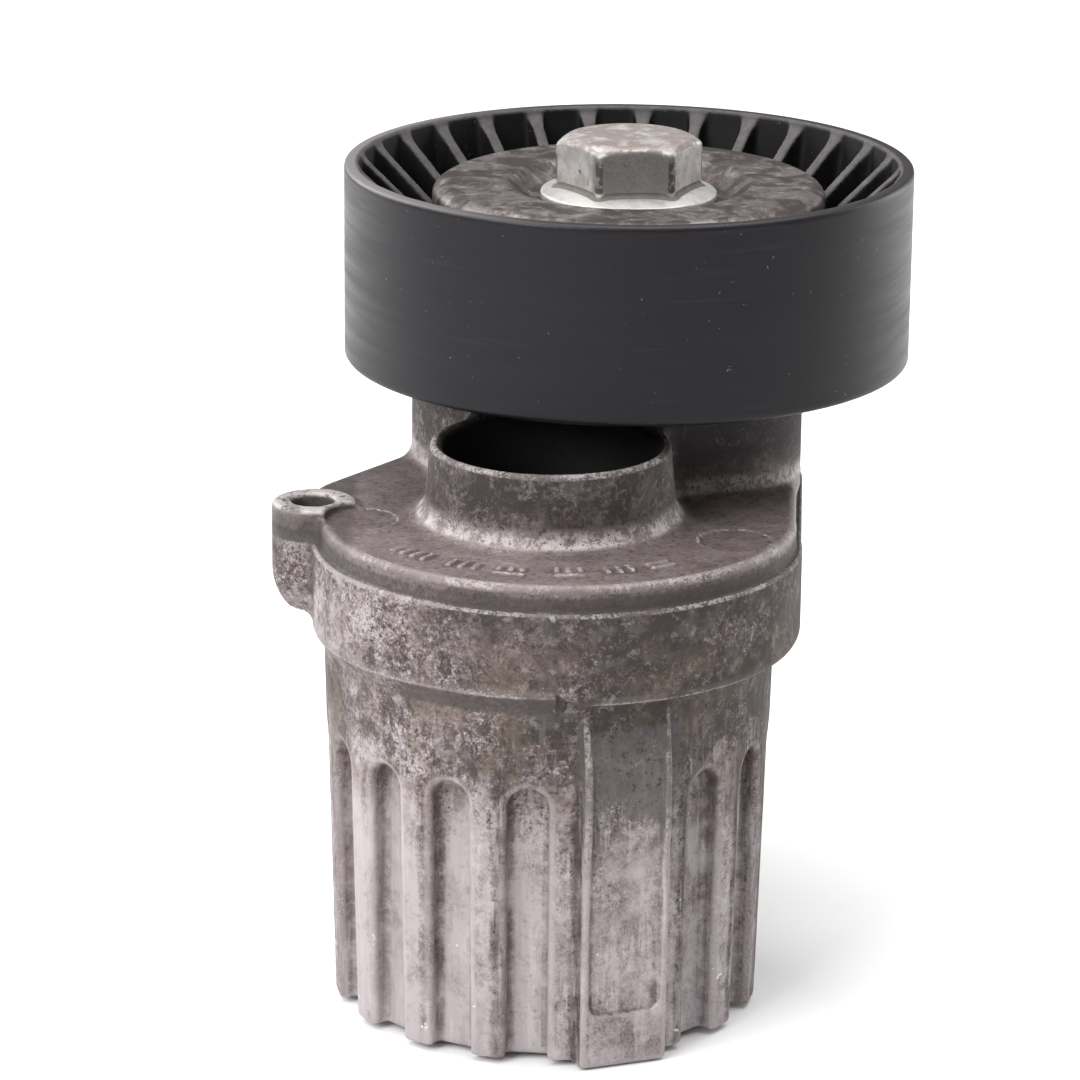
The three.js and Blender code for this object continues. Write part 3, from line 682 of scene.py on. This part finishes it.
def paint_shade(m):
    """Painted shade, near black, on the pillar under the pulley and inside the bore."""
    # painted shade on the pillar under the pulley
    under = m.times(m.span(m.z, 61.2, 66.0), m.span(m.r, 15.4, 17.2), m.span(m.x, -13.0, -1.0))
    under = m.times(under, m.ramp(m.add(m.fine, m.patch), 1.22, 1.02))
    m.paint(m.times(under, 0.9), (0.016, 0.0135, 0.0125))
    # painted shade inside the bore
    m.paint(m.bore_shade, (0.006, 0.0055, 0.0055))


def cast_look():
    m = CastLook("weathered_casting")
    soot = soot_amount(m)
    m.colour = m.colours(soot, BARE_TO_SOOT)
    m.paint(m.times(m.lug, m.ramp(m.patch, 0.3, 0.7, 0.6, 0.85)), (0.070, 0.057, 0.052))
    paint_barrel(m)
    paint_mottle(m)
    paint_crust(m)
    paint_pad(m)
    paint_cove(m)
    paint_bloom(m)
    paint_spots(m, soot)
    paint_edges(m)
    paint_shade(m)
    n = m.bump(m.patch, 0.25, 0.35)
    n = m.bump(m.fine, 0.12, 0.4, n)
    n = m.bump(m.grain, 0.05, 0.45, n)
    sheen = m.band(m.z, 58.4, 59.2, 60.6, 61.8)
    rough = m.scaled_add(sheen, -0.16, m.ramp(soot, 0.0, 1.0, 0.50, 0.72))
    return m.done(rough, m.less(0.18, m.times(m.bore_shade, 0.18)), n)


def paint_dust_and_rim_highlight(m, r):
    """Dusty upper edges of the rim and ribs; on the rim the dust and a painted highlight grow towards the
    left, where the key light falls.
    """
    normal = m.node("ShaderNodeNewGeometry").outputs["Normal"]
    facing_up = m.node("ShaderNodeSeparateXYZ", {0: normal}).outputs[2]
    dust = m.times(m.ramp(facing_up, 0.15, 0.6), m.span(m.z, 87.2, 90.5))
    dust = m.times(dust, m.ramp(m.noise(1.5, 4, 0.7), 0.3, 0.7, 0.55, 0.95))
    on_rim = m.span(r, 33.4, 33.8)
    # on the rim, dust that grows to the left as painted light from the key
    rim = m.times(m.span(m.x, 2.0, -26.0, 0.06, 0.7), on_rim)
    dust = m.times(dust, m.add(rim, m.less(1.0, on_rim)))
    m.paint(m.times(dust, 0.9), (0.118, 0.106, 0.106))
    # painted highlight on the left of the rim top
    rim_highlight = m.times(rim, m.ramp(facing_up, 0.25, 0.7), m.span(m.z, 95.0, 96.0))
    m.paint(m.times(rim_highlight, 0.9), (0.24, 0.226, 0.23))


def plastic_look():
    m = Look("moulded_plastic")
    r, a = m.polar(AX, AY)
    around = m.vector(m.times(a, 0.012), 0.0, m.z)
    band = m.noise(0.45, 4, 0.65, stretch=(9, 1, 1), at=around)
    scuff = m.noise(1.6, 4, 0.7, stretch=(6, 1, 1), at=around)
    inside = m.span(r, 33.8, 33.4)
    m.colour = m.mix(m.ramp(scuff, 0.56, 0.74), (0.0074, 0.0059, 0.0083), (0.0175, 0.0153, 0.019))
    # painted shade inside the rim, among the ribs
    m.paint(m.times(inside, 0.8), (0.0035, 0.0033, 0.0038))
    paint_dust_and_rim_highlight(m, r)
    m.paint(m.times(m.ramp(m.noise(0.6, 2, 0.6), 0.735, 0.765), 0.5), (0.24, 0.225, 0.22))
    rough = m.add(m.ramp(scuff, 0.3, 0.75, 0.34, 0.48), m.times(inside, 0.2))
    n = m.bump(band, 0.02, 0.2)
    n = m.bump(m.noise(0.3, 3, 0.65), 0.02, 0.3, n)
    return m.done(rough, 0.0, n, **{"Specular IOR Level": 0.27})


def metal_look(name, light, shade, rough, size, stain=None, stain_from=0.6, relief=0.04):
    """Patchy metal, with stains where the noise passes stain_from."""
    m = Look(name)
    patch = m.noise(size, 4, 0.65)
    fine = m.noise(0.3, 3, 0.6)
    m.colour = m.mix(m.ramp(patch, 0.35, 0.68), light, shade)
    rough = m.ramp(fine, 0.3, 0.7, rough * 0.85, rough * 1.25)
    metal = 0.9
    if stain is not None:
        stained = m.ramp(m.noise(size * 2.4, 5, 0.7), stain_from - 0.05, stain_from + 0.07)
        stained = m.times(stained, 0.85)
        m.paint(stained, stain)
        rough = m.scaled_add(stained, 0.25, rough)
        metal = m.less(0.9, m.times(stained, 0.75))
    n = m.bump(patch, relief, 0.3)
    n = m.bump(fine, relief * 0.6, 0.4, n)
    return m.done(rough, metal, n)


def cap_look():
    """Oxidised steel with pale smears and dark dabs, and painted shade in the dish."""
    m = Look("oxidised_cap")
    r, a = m.polar(AX, AY)
    cloud = m.noise(5.0, 4, 0.65, distort=0.8)
    patch = m.noise(1.9, 4, 0.65, distort=0.5)
    mixed = m.scaled_add(cloud, 0.6, m.times(patch, 0.4))
    m.colour = m.mix(m.ramp(mixed, 0.43, 0.57), (0.072, 0.058, 0.055), (0.215, 0.188, 0.186))
    smear = m.times(m.ramp(patch, 0.56, 0.64), m.ramp(cloud, 0.42, 0.55))
    m.paint(m.times(smear, 0.75), (0.42, 0.375, 0.37))
    m.paint(m.times(m.ramp(m.noise(1.1, 4, 0.7), 0.57, 0.66), 0.75), (0.055, 0.042, 0.038))
    # painted shade in the dish round the bolt
    dish = m.times(m.span(r, 15.2, 14.0), m.ramp(patch, 0.3, 0.65, 0.75, 0.35))
    m.paint(dish, (0.060, 0.048, 0.045))
    rings = m.noise(0.5, 3, 0.6, at=m.vector(r, m.times(a, 0.002), 0.0))
    n = m.bump(rings, 0.02, 0.3)
    n = m.bump(m.noise(0.4, 3, 0.65), 0.025, 0.4, n)
    return m.done(m.ramp(mixed, 0.35, 0.65, 0.52, 0.42), 0.75, n)


def bolt_grime(m):
    """Rust and dirt on the bolt: in corners, on the sides of the hex and along its crest."""
    turn = m.turn()
    side = m.band(m.z, 94.4, 95.0, 98.4, 99.2)
    grime = m.times(m.ramp(turn, 0.58, 0.68), m.ramp(m.noise(1.3, 4, 0.7), 0.40, 0.50))
    grime = m.math("MAXIMUM", m.times(grime, side), m.times(m.ramp(turn, 0.44, 0.3), 0.9))
    dab = m.times(m.ramp(m.noise(0.9, 4, 0.65), 0.60, 0.68), m.scaled_add(side, 0.6, 0.3))
    grime = m.math("MAXIMUM", grime, dab)
    crest = m.times(m.ramp(turn, 0.62, 0.76), m.span(m.z, 98.0, 98.5))
    crest = m.times(crest, m.ramp(m.noise(2.4, 3, 0.6), 0.60, 0.48))
    return m.math("MAXIMUM", grime, m.times(crest, 0.55))


def bolt_look():
    """Zinc plate, with painted shade on the front faces of the hex and brownish stains on its top."""
    m = Look("zinc_plate")
    patch = m.noise(1.7, 4, 0.65)
    fine = m.noise(0.35, 3, 0.65)
    m.colour = m.mix(m.ramp(patch, 0.35, 0.68), (0.66, 0.64, 0.62), (0.47, 0.45, 0.435))
    # painted shade on the front faces of the hex
    front = m.times(m.span(m.y, AY - 7.0, AY - 7.7), m.span(m.z, 94.6, 95.0))
    m.paint(m.times(front, 0.85), (0.29, 0.278, 0.268))
    top = m.times(m.span(m.z, 99.6, 100.1), m.ramp(m.noise(2.6, 4, 0.7), 0.40, 0.56, 0.1, 0.9))
    m.paint(top, (0.365, 0.303, 0.284))
    m.paint(m.times(m.span(m.z, 94.6, 94.2), m.ramp(patch, 0.4, 0.6, 0.9, 0.3)), (0.56, 0.55, 0.535))
    grime = bolt_grime(m)
    m.paint(m.times(grime, 0.9), (0.058, 0.044, 0.037))
    rough = m.scaled_add(grime, 0.2, m.ramp(fine, 0.3, 0.7, 0.44, 0.60))
    n = m.bump(patch, 0.06, 0.3)
    return m.done(rough, m.less(0.85, m.times(grime, 0.6)), m.bump(fine, 0.025, 0.4, n))


def dull_look(name, a, b, rough):
    m = Look(name)
    m.colour = m.mix(m.ramp(m.noise(1.0, 3, 0.6), 0.35, 0.65), a, b)
    return m.done(rough, 0.0, m.bump(m.noise(0.35, 3, 0.6), 0.04, 0.4))


def paper_look():
    m = Look("stage_paper")
    m.colour = m.mix(m.ramp(m.noise(60, 2, 0.5), 0.3, 0.7), (0.90, 0.90, 0.90), (0.915, 0.915, 0.915))
    return m.done(0.9, 0.0)


CAST = cast_look()
PLASTIC = plastic_look()
CAP = cap_look()
ZINC = bolt_look()
STEEL = metal_look("ground_steel", (0.62, 0.61, 0.6), (0.5, 0.49, 0.48), 0.3, 1.0)
DARK = metal_look("oiled_steel", (0.2, 0.19, 0.18), (0.11, 0.1, 0.095), 0.42, 1.2,
                  stain=(0.16, 0.09, 0.05), stain_from=0.66)
BRASS = metal_look("cage_brass", (0.62, 0.46, 0.22), (0.5, 0.36, 0.16), 0.35, 0.8)
BASE = metal_look("base_aluminium", (0.56, 0.53, 0.52), (0.4, 0.37, 0.36), 0.5, 1.5,
                  stain=(0.22, 0.19, 0.17), stain_from=0.55, relief=0.06)
BUSH = dull_look("bushing_polymer", (0.055, 0.05, 0.045), (0.1, 0.09, 0.08), 0.6)
RUBBER = dull_look("seal_rubber", (0.02, 0.02, 0.02), (0.035, 0.034, 0.033), 0.7)


# ------------------------------------------------------------------ the pieces
def dress(ob, mat, body, node):
    """Gives a modelled piece its material and its moving body, and hides the CAD piece it stands for."""
    ob.data.materials.clear()
    ob.data.materials.append(mat)
    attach(ob, body)
    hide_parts(node)


def around_axis(reach, z0, z1):
    """Box round the pulley axis."""
    return (AX - reach, AY - reach, z0), (AX + reach, AY + reach, z1)


def build_arm():
    lo, hi = (-34.4, -30.6, -0.6), (33.0, 55.2, 79.6)
    ob = field_mesh("arm_casting_skin", casting, lo, hi, 0.4)
    dress(ob, CAST, "arm", "arm_casting")


def build_pulley():
    lo, hi = around_axis(PULLEY_R + 0.9, Z0 - 0.8, Z1 + 0.8)
    ob = field_mesh("pulley_skin", pulley, lo, hi, 0.34)
    dress(ob, PLASTIC, "pulley_body", "pulley")


def build_bolt():
    lo, hi = around_axis(11.6, 52.0, HEAD_TOP + 0.5)
    ob = field_mesh("pulley_bolt_skin", bolt, lo, hi, 0.2)
    dress(ob, ZINC, "arm", "pulley_bolt")


def build_cap():
    """Pressed cap: a hole for the bolt, a dish, a flat rim and a turned-down edge."""
    foot = BEARING_Z1 + 0.05
    corners = [
        (5.3, foot, 0.1), (12.8, foot, 1.0), (15.3, CAP_TOP - 1.1, 1.0), (21.8, CAP_TOP - 1.1, 1.2),
        (23.0, CAP_TOP - 2.2, 0.8), (23.0, CAP_TOP - 3.6, 0.2), (24.2, CAP_TOP - 3.6, 0.25),
        (24.2, CAP_TOP - 0.9, 1.9), (22.6, CAP_TOP, 1.9), (15.2, CAP_TOP, 1.3),
        (12.3, SEAT_Z, 1.0), (5.3, SEAT_Z, 0.1),
    ]
    profile = rounded([(r, z) for r, z, _ in corners], [radius for _, _, radius in corners])
    dress(turned("dust_cap_skin", profile[::-1], AX, AY), CAP, "arm", "dust_cap")


def finish_cad_piece(name, mat):
    """CAD piece shown as it is, with its material and lightly broken edges."""
    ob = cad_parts[name]
    ob.data.materials.clear()
    ob.data.materials.append(mat)
    bevel = ob.modifiers.new("edge", "BEVEL")
    bevel.width = 0.15 * MM
    bevel.segments = 2
    bevel.limit_method = "ANGLE"
    bevel.angle_limit = math.radians(35)


CAD_LOOKS = {
    "base_plate": BASE, "spindle": STEEL, "thrust_washer": DARK, "retaining_ring": DARK,
    "torsion_spring": DARK, "lower_bushing": BUSH, "upper_bushing": BUSH, "friction_ring": BUSH,
    "bearing_inner_ring": STEEL, "bearing_outer_ring": STEEL, "lower_dust_shield": CAP,
    "bearing_seal_lower": RUBBER, "bearing_seal_upper": RUBBER, "bearing_cage": BRASS,
}
CAD_LOOKS.update({f"bearing_ball_{k}": STEEL for k in range(1, 9)})

build_arm()
build_pulley()
build_bolt()
build_cap()
for name, mat in CAD_LOOKS.items():
    finish_cad_piece(name, mat)

# ------------------------------------------------------------------ stage, camera and light
SENSOR, LENS = 36.0, 153.75
TILT, ROLL, DISTANCE = 0.30002, 0.01008, 0.55182
AIM_X, AIM_Z = -0.001174, 0.056977
WORLD_STRENGTH = 0.26
# area lights, metres and watts: place, aim, size, power
LIGHTS = {
    "key": ((-0.64, -0.66, 0.66), (0, 0, 0.04), (0.6, 0.6), 9.2),
    "top": ((0.0, 0.05, 0.95), (0, -0.05, 0.0), (1.2, 1.0), 13.0),
    "left": ((-0.60, 0.42, 0.34), (0, 0.02, 0.08), (0.6, 0.5), 3.4),
    "right": ((0.62, 0.42, 0.20), (0, 0.02, 0.07), (0.45, 0.4), 2.0),
}


def add_floor():
    bpy.ops.mesh.primitive_plane_add(size=6.0, location=(0, 0.8, 0))
    floor = bpy.context.object
    floor.name = "stage_floor"
    floor.data.materials.append(paper_look())


def add_camera(scene):
    data = bpy.data.cameras.new("view")
    data.sensor_width = SENSOR
    data.lens = LENS
    data.clip_start = 0.01
    cam = bpy.data.objects.new("view", data)
    scene.collection.objects.link(cam)
    cam.location = (AIM_X, -DISTANCE * math.cos(TILT), AIM_Z + DISTANCE * math.sin(TILT))
    cam.rotation_mode = "XYZ"
    cam.rotation_euler = (math.pi / 2 - TILT, 0, 0)
    facing = cam.rotation_euler.to_matrix()
    cam.rotation_euler = (facing @ Matrix.Rotation(ROLL, 3, "Z")).to_euler("XYZ")
    scene.camera = cam


def add_world(scene):
    world = bpy.data.worlds.new("studio")
    world.use_nodes = True
    background = world.node_tree.nodes["Background"]
    background.inputs[0].default_value = (1.0, 1.0, 1.0, 1)
    background.inputs[1].default_value = WORLD_STRENGTH
    scene.world = world


def add_light(scene, name, place, aim, size, power):
    data = bpy.data.lights.new(name, "AREA")
    data.shape = "RECTANGLE"
    data.size, data.size_y = size
    data.energy = power
    ob = bpy.data.objects.new(name, data)
    scene.collection.objects.link(ob)
    ob.location = place
    ob.rotation_euler = (Vector(aim) - Vector(place)).to_track_quat("-Z", "Y").to_euler()


def set_stage(scene):
    add_floor()
    add_camera(scene)
    add_world(scene)
    for name, light in LIGHTS.items():
        add_light(scene, name, *light)
    scene.view_settings.view_transform = "Standard"
    scene.view_settings.look = "None"


set_stage(bpy.context.scene)
